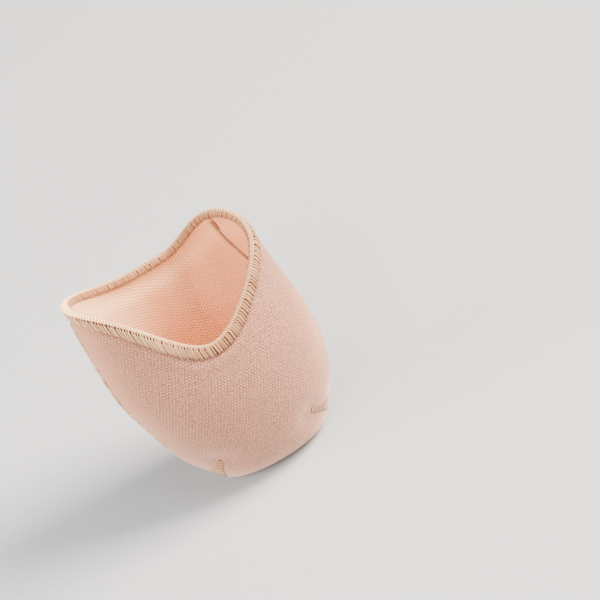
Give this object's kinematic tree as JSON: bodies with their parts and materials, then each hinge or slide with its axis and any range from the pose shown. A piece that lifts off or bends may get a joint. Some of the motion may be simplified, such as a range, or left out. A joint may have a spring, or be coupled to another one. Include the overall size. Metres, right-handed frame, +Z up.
{
  "type": "gel toe pad",
  "caption": "Soft padded toe pouch with a knit outside, a gel lining, an overlocked seam and a thread-edged mouth that dips between two ears.",
  "frame": {"origin": "middle of the bounding box at the flat of the toe, which the pad stands on", "axes": "+Z up from the toe to the mouth, -Y towards the front of the pad, X from ear to ear"},
  "size_m": [0.0784, 0.0518, 0.0974],
  "materials": {
    "knit": "fine matte stretch knit, pale peach pink",
    "gel": "soft gel in a fine dotted mesh, matte, warmer peach",
    "thread": "bulky polyester overlock thread, light peach"
  },
  "bodies": {
    "root": {"front_panel": "knit", "back_panel": "knit", "front_lining": "gel", "back_lining": "gel", "rim_overlock": "thread", "toe_seam": "thread", "dart_left": "thread", "dart_right": "thread"}
  },
  "joints": []
}
